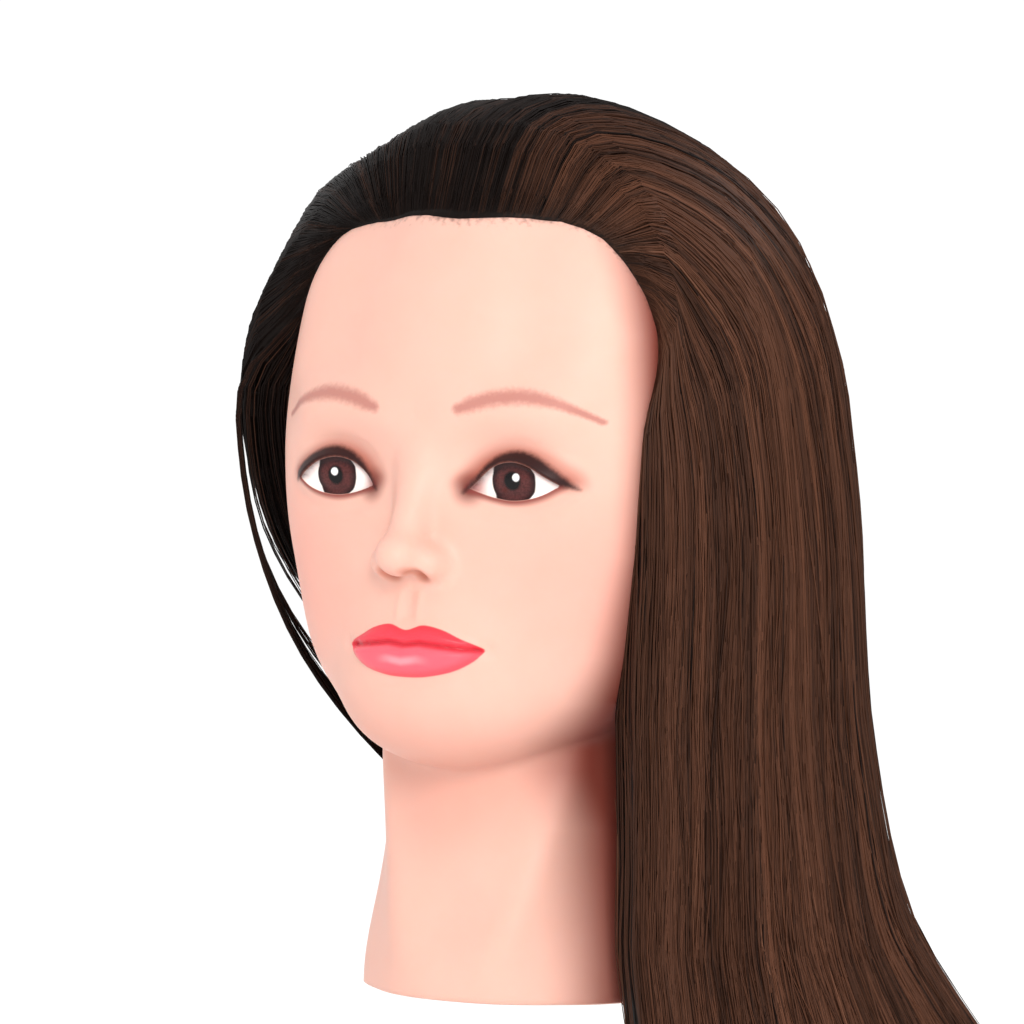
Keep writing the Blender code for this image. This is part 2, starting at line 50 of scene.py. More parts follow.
def smooth_curve(points, samples):
    """A Catmull-Rom curve through points, read at equal steps of its length."""
    points = np.asarray(points, float)
    padded = np.concatenate([[2 * points[0] - points[1]], points, [2 * points[-1] - points[-2]]])
    dense = []
    for i in range(1, len(padded) - 2):
        t = np.linspace(0.0, 1.0, 16, endpoint=False)[:, None]
        dense.append(catmull(*padded[i - 1 : i + 3], t))
    dense.append(points[-1:])
    dense = np.concatenate(dense)
    run = np.concatenate([[0.0], np.cumsum(np.linalg.norm(np.diff(dense, axis=0), axis=1))])
    at = np.asarray(samples) * run[-1]
    return np.stack([np.interp(at, run, dense[:, axis]) for axis in range(points.shape[1])], axis=-1)


def catmull(a, b, c, d, t):
    return 0.5 * (2 * b + (c - a) * t + (2 * a - 5 * b + 4 * c - d) * t**2
                  + (3 * b - a - 3 * c + d) * t**3)


def smoothstep(low, high, value):
    t = np.clip((value - low) / (high - low), 0.0, 1.0)
    return t * t * (3 - 2 * t)


def bump(value, centre, width):
    """A bell of height 1."""
    return np.exp(-(((value - centre) / width) ** 2))


def stretches(stops, steps):
    """Numbers from the first stop up to the last, each stretch cut into its own count of steps."""
    parts = [np.linspace(a, b, n, endpoint=False) for a, b, n in zip(stops, stops[1:], steps)]
    return np.concatenate(parts)


def line_distance(points, line):
    """Distance from each 2-D point to a line of points, and the share of the line that is nearest."""
    best = np.full(len(points), 1e9)
    share = np.zeros(len(points))
    for i in range(len(line) - 1):
        a, b = line[i], line[i + 1]
        along = np.clip((points - a) @ (b - a) / max((b - a) @ (b - a), 1e-12), 0.0, 1.0)
        apart = np.linalg.norm(points - a - along[:, None] * (b - a), axis=1)
        nearer = apart < best
        best = np.where(nearer, apart, best)
        share = np.where(nearer, (i + along) / (len(line) - 1), share)
    return best, share


def outline_distance(points, outline):
    """Distance from each 2-D point to a closed outline, negative inside it."""
    loop = np.concatenate([outline, outline[:1]])
    apart, _ = line_distance(points, loop)
    inside = np.zeros(len(points), bool)
    for (ax, az), (bx, bz) in zip(loop[:-1], loop[1:]):
        if az == bz:
            continue
        between = (az > points[:, 1]) != (bz > points[:, 1])
        cross = ax + (points[:, 1] - az) / (bz - az) * (bx - ax)
        inside ^= between & (points[:, 0] < cross)
    return np.where(inside, -apart, apart)


# ---- the head's shape: a field that is negative inside, as in the CAD part ----


def ellipsoid(points, centre, radii):
    local = (points - np.array(centre, float)) / np.array(radii, float)
    near = np.linalg.norm(local, axis=-1)
    slope = np.linalg.norm(local / np.array(radii, float), axis=-1)
    return near * (near - 1.0) / np.maximum(slope, 1e-9)


def rounded_box(points, centre, radii, power):
    """An ellipsoid with a fuller section: the higher the power, the nearer to a box."""
    local = np.abs(points - np.array(centre, float)) / np.array(radii, float)
    near = (local**power).sum(axis=-1) ** (1 / power)
    near = np.maximum(near, 1e-6)
    slope = near[..., None] ** (1 - power) * local ** (power - 1) / np.array(radii, float)
    return (near - 1.0) / np.maximum(np.linalg.norm(slope, axis=-1), 1e-9)


def capsule(points, start, end, start_radius, end_radius):
    start, end = np.array(start, float), np.array(end, float)
    along = np.clip((points - start) @ (end - start) / ((end - start) @ (end - start)), 0.0, 1.0)
    apart = np.linalg.norm(points - start - along[..., None] * (end - start), axis=-1)
    return apart - (start_radius + (end_radius - start_radius) * along)


def join(a, b, softness):
    """Both fields together, filleted where they meet."""
    share = np.clip(0.5 + 0.5 * (b - a) / softness, 0.0, 1.0)
    return b + (a - b) * share - softness * share * (1.0 - share)


def carve(a, b, softness):
    """The first field with the second cut out of it, over a rounded edge."""
    return -join(-a, b, softness)


def neck_field(points):
    height = points[..., 2]
    radius = 50.0 + 7.0 * np.exp(-((height / 36.0) ** 2))
    return np.maximum(np.hypot(points[..., 0], points[..., 1]) - radius, height - 150.0)


def plain_field(points, mirrored):
    """The skull and neck with no features."""
    field = ellipsoid(points, (0, 12, 216), (74, 92, 88))
    field = join(field, ellipsoid(points, (0, -20, 172), (62, 60, 80)), 20)
    field = join(field, ellipsoid(mirrored, (44, -34, 226), (28, 28, 42)), 14)
    field = join(field, ellipsoid(mirrored, (45, -39, 182), (28, 28, 44)), 20)
    field = join(field, rounded_box(points, (0, -24, 150), (70, 54, 68), 2.4), 12)
    field = join(field, ellipsoid(points, (0, -58, 104), (34, 24, 22)), 20)
    return join(field, neck_field(points), 6)


def ear_field(mirrored):
    shell = ellipsoid(mirrored, (77, 11, 180), (9, 17, 29))
    return carve(shell, ellipsoid(mirrored, (87, 6, 181), (7, 9, 15)), 4)


def nose_field(points, mirrored):
    field = capsule(points, (0, -74, 196), (0, -88, 156), 5.4, 6.6)
    field = join(field, ellipsoid(points, (0, -91.5, 154), (7.6, 8.5, 7)), 5)
    field = join(field, ellipsoid(mirrored, (8.8, -84, 151.6), (5.2, 7.6, 5.6)), 4)
    return field


def head_field(points):
    """Below zero inside the head and neck. Near the surface it is close to the distance from it."""
    mirrored = points.copy()
    mirrored[..., 0] = np.abs(mirrored[..., 0])
    field = plain_field(points, mirrored)
    field = join(field, ellipsoid(mirrored, (26, -66, 203), (25, 12, 9)), 14)
    field = join(field, ellipsoid(points, (0, -61, 126), (28, 22, 24)), 16)
    field = carve(field, ellipsoid(mirrored, (35, -90, 184), (23, 14, 13)), 12)
    field = join(field, ellipsoid(mirrored, (36, -59, 181), (22, 19.5, 14)), 3)
    field = join(field, ear_field(mirrored), 5)
    field = join(field, nose_field(points, mirrored), 6)
    return carve(field, ellipsoid(mirrored, (5.8, -89, 146.4), (2.8, 5.0, 2.8)), 2)


def slope_of(points):
    """The field's direction of growth, which points out of the surface."""
    steps = np.eye(3) * 0.4
    slope = np.stack([head_field(points + s) - head_field(points - s) for s in steps], axis=-1)
    return slope / np.maximum(np.linalg.norm(slope, axis=-1, keepdims=True), 1e-9)


# ---- the face's outlines, as (x, z) seen from the front, for one side where both are alike ----

UPPER_LID = ((19.2, 177.0), (24, 182), (29, 185.2), (35, 186.3), (41, 185), (46, 182.2), (51.5, 178.7))
LOWER_LID = ((51.5, 178.7), (46, 175.6), (40, 173.8), (34, 173.3), (28, 174.2), (23, 175.6), (19.2, 177.0))
LINER_TOP = ((56.0, 177.6), (52.4, 181.6), (47.5, 185.6), (42, 188.7), (36, 189.9), (30, 188.6),
             (25, 185.4), (20.6, 180.2), (17.2, 175.6))
BROW = ((16.5, 203.8), (27, 207.2), (39, 208.4), (51, 205.8), (62, 200.4))
LIP_TOP = ((-26.8, 122.6), (-24, 124.2), (-19, 126.4), (-13.5, 129), (-6.5, 130.4), (0, 128.6), (6.5, 130.4),
           (13.5, 129), (19, 126.4), (24, 124.2), (26.8, 122.6))
LIP_BOTTOM = ((26.8, 122.6), (23.5, 118.6), (17, 115), (8, 112.9), (0, 112.4), (-8, 112.9), (-17, 115),
              (-23.5, 118.6), (-26.8, 122.6))
LIP_PARTING = ((0, 123.4), (6, 124.2), (13, 123.4), (20, 122.6), (26.8, 122.4))
IRIS_CENTRE = (35.0, 180.0)
RIGHT_IRIS_SQUEEZE = 1.14
GLINT_HEIGHT = 181.2
GLINT_ASIDE_LEFT, GLINT_ASIDE_RIGHT = 1.6, 0.3
NOSTRIL_CENTRE = (6.0, 147.4)
# What a point away from a feature carries as its distance from it.
FAR_AWAY = 60.0
# The hairline as (turn, rise) in degrees, from the head's right round the front to its left.
HAIRLINE = ((-180, -32), (-110, -26), (-84, -8), (-74, 8), (-66, 26), (-60, 39), (-54, 49), (-50, 54.5),
            (-36, 57.6), (-18, 58.5), (-9, 58.3), (-3, 57.7), (3, 57.4), (9, 57.7), (18, 58.3), (26, 58.6),
            (36, 58), (42, 55.8), (47, 52.8), (51.5, 48), (56, 42.5), (59, 37), (64, 25), (72, 8), (84, -8),
            (110, -26), (180, -32))


def face_measures(points):
    """Named distances in millimetres from the painted features' outlines, one for each point."""
    side = np.stack([np.abs(points[:, 0]), points[:, 2]], axis=-1)
    whole = np.stack([points[:, 0], points[:, 2]], axis=-1)
    fine = np.linspace(0.0, 1.0, 33)
    upper = smooth_curve(UPPER_LID, fine)
    lower = smooth_curve(LOWER_LID, fine)
    liner = smooth_curve(LINER_TOP, fine)
    front = points[:, 1] < -20
    made = {}

    def keep(name, function, area):
        values = np.full(len(points), FAR_AWAY)
        values[area] = function(area)
        made[name] = values

    eyes = front & (np.abs(side[:, 0] - 36) < 34) & (np.abs(side[:, 1] - 184) < 36)
    keep("eye_edge", lambda at: outline_distance(side[at], np.concatenate([upper, lower[1:-1]])), eyes)
    keep("lid_line", lambda at: line_distance(side[at], upper)[0], eyes)
    keep("low_line", lambda at: line_distance(side[at], lower)[0], eyes)
    keep("liner_edge", lambda at: outline_distance(side[at], np.concatenate([liner, upper])), eyes)
    squeeze = np.where(points[:, 0] > 0, 1.0, RIGHT_IRIS_SQUEEZE)
    from_iris = np.stack([(side[:, 0] - IRIS_CENTRE[0]) * squeeze, side[:, 1] - IRIS_CENTRE[1]], axis=-1)
    keep("iris_apart", lambda at: np.linalg.norm(from_iris[at], axis=1), eyes)
    keep("inner_corner", lambda at: np.linalg.norm(side[at] - np.array(UPPER_LID[0]), axis=1), eyes)
    glint = IRIS_CENTRE[0] + np.where(whole[:, :1] > 0, GLINT_ASIDE_LEFT, GLINT_ASIDE_RIGHT)
    glint = np.concatenate([np.sign(whole[:, :1]) * glint, np.full((len(whole), 1), GLINT_HEIGHT)], axis=1)
    made["glint"] = np.where(front, np.linalg.norm(whole - glint, axis=1), FAR_AWAY)
    nostril = np.hypot(side[:, 0] - NOSTRIL_CENTRE[0], (side[:, 1] - NOSTRIL_CENTRE[1]) * 1.3)
    made["nostril"] = np.where(points[:, 1] < -70, nostril, FAR_AWAY)

    def brow_measure(at):
        apart, share = line_distance(side[at], smooth_curve(BROW, fine))
        half = 2.7 * (1 - 0.6 * smoothstep(0.4, 1.0, share)) * (0.7 + 0.3 * smoothstep(0, 0.12, share))
        return apart / half

    keep("brow", brow_measure, front & (side[:, 1] > 185) & (side[:, 1] < 225))
    mouth = front & (np.abs(points[:, 2] - 122) < 26) & (side[:, 0] < 44)
    lips = np.concatenate([smooth_curve(LIP_TOP, np.linspace(0, 1, 61)),
                           smooth_curve(LIP_BOTTOM, np.linspace(0, 1, 49))[1:-1]])
    keep("lip_edge", lambda at: outline_distance(whole[at], lips), mouth)
    parting = np.array(LIP_PARTING)
    made["lip_side"] = side[:, 1] - np.interp(side[:, 0], parting[:, 0], parting[:, 1])
    return made


def face_relief(points, measures):
    """How far each point is raised along its normal: lids, lips, the groove under the nose, throat."""
    x, z = np.abs(points[:, 0]), points[:, 2]
    eye, upper, lower = measures["eye_edge"], measures["lid_line"], measures["low_line"]
    above = smoothstep(-2.0, 3.0, z - 178.2)
    near_eye = smoothstep(66, 48, x) * smoothstep(8, 20, x)
    raised = -1.5 * smoothstep(0.25, -1.0, eye)
    outside = smoothstep(-0.4, 0.6, eye)
    raised += outside * above * 0.9 * np.exp(-np.maximum(upper, 0) / 3.4) * near_eye
    raised -= above * 0.5 * bump(upper, 6.8, 2.0) * near_eye * outside
    raised += outside * (1 - above) * 0.6 * np.exp(-np.maximum(lower, 0) / 1.8) * near_eye
    raised -= (1 - above) * 0.35 * bump(lower, 6.0, 2.2) * near_eye

    lip, side = measures["lip_edge"], measures["lip_side"]
    inner = np.maximum(-lip, 0)
    corner = smoothstep(27.5, 19, x)
    raised += 3.6 * (1 - np.exp(-inner / 2.6)) * np.where(side > 0, 0.85, 1.0) * corner
    raised -= 2.2 * bump(side, 0, 1.2) * smoothstep(0.2, -1.5, lip)
    raised -= 1.0 * bump(np.hypot(x - 27.5, z - 122.8), 0, 2.6)
    raised += 0.35 * bump(lip, 0.5, 0.8) * (z > 122)
    raised -= 0.8 * bump(x, 0, 2.4) * smoothstep(131, 134, z) * smoothstep(144, 141, z)
    raised += 0.5 * bump(x, 3.9, 1.5) * smoothstep(130.5, 133, z) * smoothstep(144, 140, z)
    raised -= 1.2 * bump(z, 109.5, 4.5) * bump(x, 0, 17)

    turn = np.degrees(np.arctan2(points[:, 0], -points[:, 1]))
    low = smoothstep(105, 80, z)
    raised -= 3.4 * bump(turn, 0, 15) * bump(z, 30, 17) * low
    strap = np.abs(turn) - (17 + 0.42 * np.maximum(z - 10, 0))
    raised += 2.6 * bump(strap, 0, 10) * low * smoothstep(-6, 26, z)
    raised -= 1.2 * bump(strap, 24, 12) * low
    return raised


COLUMN_STOPS = (-180, -62, -46, 46, 62, 180)
COLUMN_STEPS = (30, 18, 224, 18, 30)
RISE_STOPS = (89.4, 62, 28, -42, -62)
RISE_STEPS = (8, 18, 176, 22)
NECK_STEPS = 34
TURN_IN_ROWS = 8
MM_PER_DEGREE = 1.7
HIDDEN_VALUES = {"scalp": -60.0, "neck_shade": 0.0, "curtain_shade": 0.0}
# The turn in degrees where the shade beside the left curtain of hair begins and is full, at each height.
CURTAIN_SHADE = ((0, 34, 70), (60, 30, 68), (80, 20, 56), (92, 26, 54), (104, 36, 56), (120, 41, 57),
                 (155, 46, 59), (230, 46, 60), (260, 42, 60))
SKIN_WALL = 4.5
HEAD_CENTRE = 170.0


def direction(turn, rise):
    """Unit vectors at a turn from -Y towards +X and a rise above the level, in radians."""
    return np.stack([np.sin(turn) * np.cos(rise), -np.cos(turn) * np.cos(rise), np.sin(rise)], axis=-1)


def hit(start, towards):
    """Where rays from inside the head leave its surface."""
    near = np.zeros(start.shape[:-1])
    far = np.full(start.shape[:-1], 160.0)
    for _ in range(26):
        middle = (near + far) / 2
        inside = head_field(start + towards * middle[..., None]) < 0.0
        near = np.where(inside, middle, near)
        far = np.where(inside, far, middle)
    return start + towards * near[..., None]


def head_grid():
    """Points on the head in rows from crown to neck edge, by rays from a centre that moves down the neck."""
    turn = np.radians(stretches(COLUMN_STOPS, COLUMN_STEPS))
    rise = np.radians(np.append(stretches(RISE_STOPS, RISE_STEPS), RISE_STOPS[-1]))
    left = np.concatenate([np.ones(len(rise)), 1 - np.arange(1, NECK_STEPS + 1) / NECK_STEPS])
    rise = np.concatenate([rise, np.arctan(math.tan(rise[-1]) * left[len(rise):])])
    rise, turn = np.meshgrid(rise, turn, indexing="ij")
    start = np.zeros(rise.shape + (3,))
    start[..., 2] = HEAD_CENTRE * left[:, None]
    return hit(start, direction(turn, rise))


def mesh_object(name, points, faces, material, smooth=True):
    """An object from points in millimetres and an array of faces with equal numbers of corners."""
    faces = np.asarray(faces, np.int32)
    corners = faces.shape[1]
    mesh = bpy.data.meshes.new(name)
    mesh.vertices.add(len(points))
    mesh.vertices.foreach_set("co", (np.asarray(points) * MM).astype(np.float32).ravel())
    mesh.loops.add(faces.size)
    mesh.loops.foreach_set("vertex_index", faces.ravel())
    mesh.polygons.add(len(faces))
    mesh.polygons.foreach_set("loop_start", np.arange(0, faces.size, corners, dtype=np.int32))
    mesh.update(calc_edges=True)
    mesh.polygons.foreach_set("use_smooth", np.full(len(faces), smooth))
    mesh.materials.append(material)
    item = bpy.data.objects.new(name, mesh)
    bpy.context.scene.collection.objects.link(item)
    return item


def add_values(item, name, values):
    layer = item.data.attributes.new(name, "FLOAT", "POINT")
    layer.data.foreach_set("value", np.asarray(values, np.float32))


def add_uvs(item, uvs):
    """One UV pair for each face corner."""
    layer = item.data.uv_layers.new(name="OFBake")
    layer.data.foreach_set("uv", np.asarray(uvs, np.float32).ravel())


def grid_faces(rows, columns, wrap):
    """Quads of a grid of points, as numbers, and as corners of the unit square for a UV layer."""
    row, column = np.meshgrid(np.arange(rows - 1), np.arange(columns if wrap else columns - 1), indexing="ij")
    row, column = row.ravel(), column.ravel()
    corners = [(row, column), (row + 1, column), (row + 1, column + 1), (row, column + 1)]
    numbers = np.stack([r * columns + c % columns for r, c in corners], axis=1)
    across = columns if wrap else columns - 1
    uvs = np.stack([np.stack([c / across, 1 - r / (rows - 1)], axis=-1) for r, c in corners], axis=1)
    return numbers, 0.002 + 0.996 * uvs


def add_head(material):
    grid = head_grid()
    rows, columns = grid.shape[:2]
    flat = grid.reshape(-1, 3)
    outward = slope_of(flat)
    measures = face_measures(flat)
    flat = flat + outward * face_relief(flat, measures)[:, None]
    measures = face_measures(flat)
    edge = flat.reshape(rows, columns, 3)[-1]
    outline = np.hypot(edge[:, 0], edge[:, 1])[:, None]
    inner = []
    for step in range(1, TURN_IN_ROWS + 1):
        turn = min(step / 4, 1.0) * math.pi
        ring = edge * (1 - (SKIN_WALL / 2) * (1 - math.cos(turn)) / outline)
        ring[:, 2] = 0.4 - 1.2 * math.sin(turn) + max(step - 4, 0) * 2.0
        inner.append(ring)
    points = np.concatenate([flat, np.concatenate(inner)])
    faces, uvs = grid_faces(rows + TURN_IN_ROWS, columns, True)
    head = mesh_object("head_skin_soft", points, faces, material)
    add_uvs(head, uvs)
    turned = np.degrees(np.arctan2(flat[:, 0], -flat[:, 1]))
    rise = np.degrees(np.arctan2(flat[:, 2] - HEAD_CENTRE, np.hypot(flat[:, 0], flat[:, 1])))
    hairline = np.array(HAIRLINE, float)
    measures["scalp"] = (rise - np.interp(turned, hairline[:, 0], hairline[:, 1])) * MM_PER_DEGREE
    notch = 46 + 0.012 * turned**2
    measures["neck_shade"] = (0.3 * smoothstep(-10, 24, flat[:, 2] - notch) * smoothstep(112, 84, flat[:, 2])
                              * smoothstep(78, 40, np.abs(turned)))
    shade = np.array(CURTAIN_SHADE, float)
    begins, full = (np.interp(flat[:, 2], shade[:, 0], shade[:, column]) for column in (1, 2))
    measures["curtain_shade"] = 0.95 * smoothstep(0.0, 1.0, (turned - begins) / (full - begins))
    inside = len(points) - len(flat)
    for name, values in measures.items():
        add_values(head, name, np.concatenate([values, np.full(inside, HIDDEN_VALUES.get(name, FAR_AWAY))]))
    return head


# ---- materials ----


class Nodes:
    """A short way to build one material's node tree."""

    def __init__(self, name):
        self.material = bpy.data.materials.get(name) or bpy.data.materials.new(name)
        self.material.use_nodes = True
        self.tree = self.material.node_tree
        self.tree.nodes.clear()
        self.shader = self.tree.nodes.new("ShaderNodeBsdfPrincipled")
        output = self.tree.nodes.new("ShaderNodeOutputMaterial")
        self.tree.links.new(self.shader.outputs["BSDF"], output.inputs["Surface"])

    def add(self, kind, inputs=None, **settings):
        node = self.tree.nodes.new(kind)
        for key, value in settings.items():
            setattr(node, key, value)
        for key, value in (inputs or {}).items():
            self.put(node.inputs[key], value)
        return node

    def put(self, socket, value):
        if isinstance(value, bpy.types.NodeSocket):
            self.tree.links.new(value, socket)
        else:
            socket.default_value = value

    def value(self, name):
        return self.add("ShaderNodeAttribute", attribute_name=name).outputs["Fac"]

    def step(self, value, low, high, start=0.0, end=1.0):
        """A smooth change from start to end as value goes from low to high."""
        node = self.add("ShaderNodeMapRange", {"Value": value, "From Min": low, "From Max": high,
                                               "To Min": start, "To Max": end},
                        interpolation_type="SMOOTHSTEP")
        return node.outputs["Result"]

    def sum(self, operation, a, b):
        return self.add("ShaderNodeMath", {0: a, 1: b}, operation=operation).outputs[0]

    def times(self, a, b):
        return self.sum("MULTIPLY", a, b)

    def roughened(self, value, noise, size):
        """The value with noise of the given size added, so that an edge drawn from it isn't smooth."""
        return self.sum("ADD", value, self.times(self.sum("SUBTRACT", noise, 0.5), size))

    def mix(self, share, a, b):
        node = self.add("ShaderNodeMix", {"Factor": share, "A": a, "B": b}, data_type="RGBA")
        return node.outputs[2]

    def place(self):
        return self.add("ShaderNodeTexCoord").outputs["Object"]

    def noise(self, scale, detail=2.0):
        node = self.add("ShaderNodeTexNoise", {"Vector": self.place(), "Scale": scale, "Detail": detail})
        return node.outputs["Fac"]


def rgb(red, green, blue):
    """A linear colour from 0-255 display values."""
    shown = np.array([red, green, blue]) / 255
    linear = np.where(shown <= 0.04045, shown / 12.92, ((shown + 0.055) / 1.055) ** 2.4)
    return (*map(float, linear), 1.0)


def skin_material():
    """Vinyl with its make-up, plus painted shade and painted highlights, all painted by the distances that
    the mesh carries.
    """
    made = Nodes("skin_vinyl_soft")
    step, mix, value, times, roughened = made.step, made.mix, made.value, made.times, made.roughened
    colour = mix(made.noise(60, 3.0), rgb(216, 167, 151), rgb(223, 174, 159))
    place = made.add("ShaderNodeSeparateXYZ", {0: made.place()})
    across = made.sum("ABSOLUTE", place.outputs[0], 0.0)
    deep, high = place.outputs[1], place.outputs[2]
    cheek = made.add("ShaderNodeCombineXYZ", {0: across, 1: deep, 2: high}).outputs[0]
    near = made.add("ShaderNodeVectorMath", {0: cheek, 1: (0.052, -0.055, 0.146)}, operation="DISTANCE")
    colour = mix(step(near.outputs["Value"], 0.05, 0.006, 0.0, 0.25), colour, rgb(224, 128, 116))
    # Painted shade: darker on the neck below the jaw, and beside the left curtain of hair where its shadow
    # falls.
    colour = mix(value("neck_shade"), colour, rgb(196, 120, 102))
    colour = mix(value("curtain_shade"), colour, rgb(116, 42, 30))

    lid, eye = value("lid_line"), value("eye_edge")
    outside = step(eye, -0.2, 0.3)
    colour = mix(times(step(lid, 9.5, 1.5, 0.0, 0.9), times(outside, step(high, 0.175, 0.181))),
                 colour, rgb(150, 74, 58))
    colour = mix(times(step(value("inner_corner"), 8.0, 0.0, 0.0, 1.0), outside), colour, rgb(96, 34, 26))
    colour = mix(times(step(value("low_line"), 2.8, 0.3, 0.0, 0.9), outside), colour, rgb(120, 50, 44))
    # Painted shade inside the nostrils.
    colour = mix(step(value("nostril"), 5.0, 0.6, 0.0, 0.75), colour, rgb(170, 82, 50))
    brow = roughened(value("brow"), made.noise(700, 1.0), 0.6)
    colour = mix(step(brow, 1.6, 0.2, 0.0, 0.66), colour, rgb(150, 82, 76))

    lip, side = value("lip_edge"), value("lip_side")
    # Painted highlight along the middle of the lower lip.
    painted_lip_highlight = times(step(made.sum("ABSOLUTE", made.sum("ADD", side, 5.4), 0.0), 2.2, 0.2),
                  step(across, 0.012, 0.002))
    lips = mix(step(side, -0.4, 0.4), rgb(232, 92, 106), rgb(216, 62, 76))
    lips = mix(times(painted_lip_highlight, 0.5), lips, rgb(246, 170, 176))
    lips = mix(step(lip, -3.2, -0.4, 0.0, 0.4), lips, rgb(208, 52, 62))
    parting = times(step(made.sum("ABSOLUTE", side, 0.0), 1.5, 0.1, 0.0, 0.8), step(lip, 0.4, -0.6))
    lips = mix(parting, lips, rgb(190, 30, 44))
    colour = mix(step(lip, 0.25, -0.3), colour, lips)

    white = mix(step(value("inner_corner"), 7.0, 0.5, 0.0, 0.85), rgb(236, 226, 222), rgb(180, 96, 84))
    # Painted shade under the upper lid, over the white of the eye.
    white = mix(step(lid, 3.2, 0.3, 0.0, 0.45), white, rgb(150, 110, 110))
    iris = value("iris_apart")
    rays = mix(made.noise(1400, 2.0), rgb(38, 13, 13), rgb(98, 48, 46))
    inside = mix(step(iris, 5.4, 8.4), rays, rgb(34, 10, 12))
    inside = mix(step(iris, 4.0, 2.6), inside, rgb(8, 4, 5))
    # Painted shade under the upper lid, over the iris.
    inside = mix(step(lid, 3.6, 0.6, 0.0, 0.75), inside, rgb(20, 6, 8))
    ball = mix(step(iris, 8.9, 8.3), white, inside)
    ball = mix(step(value("glint"), 1.7, 0.9), ball, (1, 1, 1, 1))
    colour = mix(step(eye, 0.15, -0.15), colour, ball)
    liner = roughened(value("liner_edge"), made.noise(700), 0.9)
    colour = mix(step(liner, 1.4, -0.9, 0.0, 0.97), colour, rgb(32, 7, 8))

    scalp = roughened(value("scalp"), made.noise(500), 9.0)
    colour = mix(step(scalp, -2.0, 5.0, 0.0, 0.94), colour, rgb(48, 34, 30))
    made.put(made.shader.inputs["Base Color"], colour)
    gloss = step(eye, 0.1, -0.4, 0.46, 0.12)
    made.put(made.shader.inputs["Roughness"], made.sum("SUBTRACT", gloss, step(lip, 0.2, -0.6, 0.0, 0.13)))
    made.shader.inputs["Subsurface Weight"].default_value = 0.22
    made.shader.inputs["Subsurface Radius"].default_value = (1.0, 0.4, 0.25)
    made.shader.inputs["Subsurface Scale"].default_value = 0.006
    made.shader.inputs["Specular IOR Level"].default_value = 0.2
    return made.material


def hair_material(name, dark, light, ash, roughness):
    """Brown fibre: its tone picks the colour, which is darker near the root."""
    made = Nodes(name)
    tone, along = made.value("tone"), made.value("along")
    colour = made.add("ShaderNodeValToRGB", {0: tone})
    ramp = colour.color_ramp
    ramp.elements[0].color, ramp.elements[1].color = dark, light
    ramp.elements[0].position, ramp.elements[1].position = 0.12, 0.8
    ramp.elements.new(0.95).color = ash
    shade = made.mix(made.step(along, 0.0, 0.05, 0.6, 0.0), colour.outputs[0], dark)
    made.put(made.shader.inputs["Base Color"], shade)
    made.shader.inputs["Roughness"].default_value = roughness
    made.shader.inputs["Specular IOR Level"].default_value = 0.08
    return made.material


def solid_material(slot, low, high, scale, roughness, metallic=0.0, height=0.0):
    """A moulded or foamed finish: two colours in fine noise, and a light grain."""
    made = Nodes(slot + "_look")
    grain = made.noise(scale, 4.0)
    made.put(made.shader.inputs["Base Color"], made.mix(grain, low, high))
    made.shader.inputs["Roughness"].default_value = roughness
    made.shader.inputs["Metallic"].default_value = metallic
    if height:
        bumped = made.add("ShaderNodeBump", {"Strength": 0.5, "Distance": height, "Height": grain})
        made.put(made.shader.inputs["Normal"], bumped.outputs[0])
    return made.material


# ---- hair ----

HAIR_GUIDES = (
    ((72, -41, 233), (80, -47, 205), (80, -52, 170), (77, -53, 120), (75, -52, 60), (72, -51, 0),
     (71, -52, -60), (71, -54, -108)),
    ((65, -49, 251), (83, -39, 242), (97, -30, 210), (101, -30, 165), (100, -32, 110), (98, -33, 50),
     (97, -35, -10), (98, -39, -70), (101, -43, -106)),
    ((51, -51, 264), (70, -23, 276), (96, -4, 252), (109, 1, 214), (112, 4, 165), (112, 6, 110),
     (113, 9, 55), (118, 13, 5), (128, 20, -45), (138, 26, -82)),
    ((32, -55, 270), (46, -22, 299), (76, 14, 288), (101, 34, 250), (108, 46, 205), (109, 52, 150),
     (110, 57, 95), (115, 63, 40), (129, 74, -5), (149, 88, -48)),
    ((13, -62, 271), (18, -32, 303), (32, 14, 315), (58, 62, 292), (76, 88, 240), (81, 98, 190),
     (81, 102, 130), (83, 106, 75), (90, 112, 25), (104, 123, -18), (122, 136, -56)),
    ((-6, -62, 270), (-6, -32, 303), (0, 16, 316), (8, 72, 303), (22, 108, 255), (34, 118, 200),
     (42, 118, 140), (48, 117, 80), (56, 119, 20), (66, 124, -30), (78, 131, -74)),
    ((-22, -59, 271), (-28, -26, 301), (-33, 20, 310), (-34, 72, 291), (-23, 107, 245),
     (-6, 118, 190), (8, 119, 135), (18, 118, 80), (26, 118, 25), (34, 120, -30), (42, 125, -82)),
    ((-46, -54, 267), (-64, -23, 281), (-84, 8, 272), (-92, 46, 240), (-78, 86, 200),
     (-54, 107, 150), (-32, 115, 100), (-12, 117, 50), (2, 117, 0), (10, 118, -45), (15, 121, -88)),
    ((-64, -51, 253), (-84, -39, 246), (-99, -22, 220), (-104, 10, 186), (-97, 46, 148),
     (-76, 78, 105), (-50, 100, 62), (-28, 110, 25), (-14, 115, -15), (-6, 119, -80)),
    ((-72, -43, 234), (-90, -48, 213), (-98, -39, 186), (-99, -27, 150), (-93, -10, 115),
     (-82, 14, 84), (-69, 52, 53), (-52, 86, 26), (-38, 105, 0), (-26, 114, -24), (-20, 118, -68)),
)
